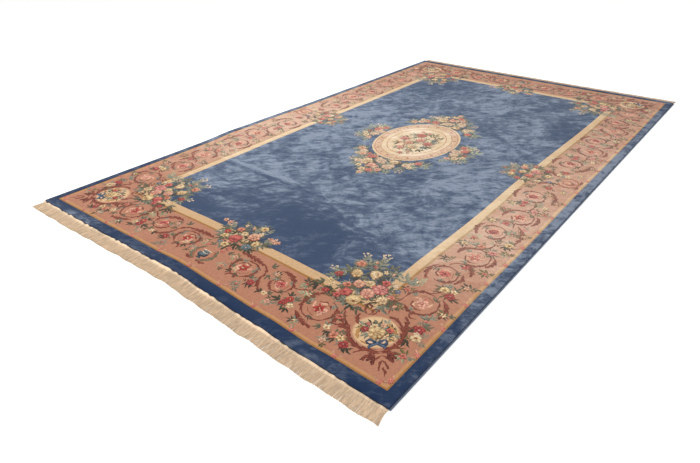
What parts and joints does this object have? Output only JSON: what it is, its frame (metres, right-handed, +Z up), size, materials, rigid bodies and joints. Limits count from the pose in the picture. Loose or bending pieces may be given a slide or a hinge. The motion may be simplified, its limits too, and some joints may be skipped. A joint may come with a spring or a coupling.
{
  "type": "savonnerie carpet",
  "caption": "Large rectangular hand-knotted wool pile carpet with floral borders and an oval medallion, corded sides and a cotton fringe at each end, laid flat.",
  "frame": {"origin": "on the floor, under the middle of the carpet's body", "axes": "+Z up, +Y along the carpet's length towards its far end, +X across it"},
  "size_m": [2.7458, 4.7493, 0.027],
  "materials": {
    "pile_wool": "cut wool pile, brushed",
    "cord_wool": "overcast wool yarn",
    "fringe_cotton": "plied cotton warp"
  },
  "bodies": {
    "root": {"carpet": "pile_wool", "side_cord_left": "cord_wool", "side_cord_right": "cord_wool", "fringe_near": "fringe_cotton", "fringe_far": "fringe_cotton"}
  },
  "joints": []
}
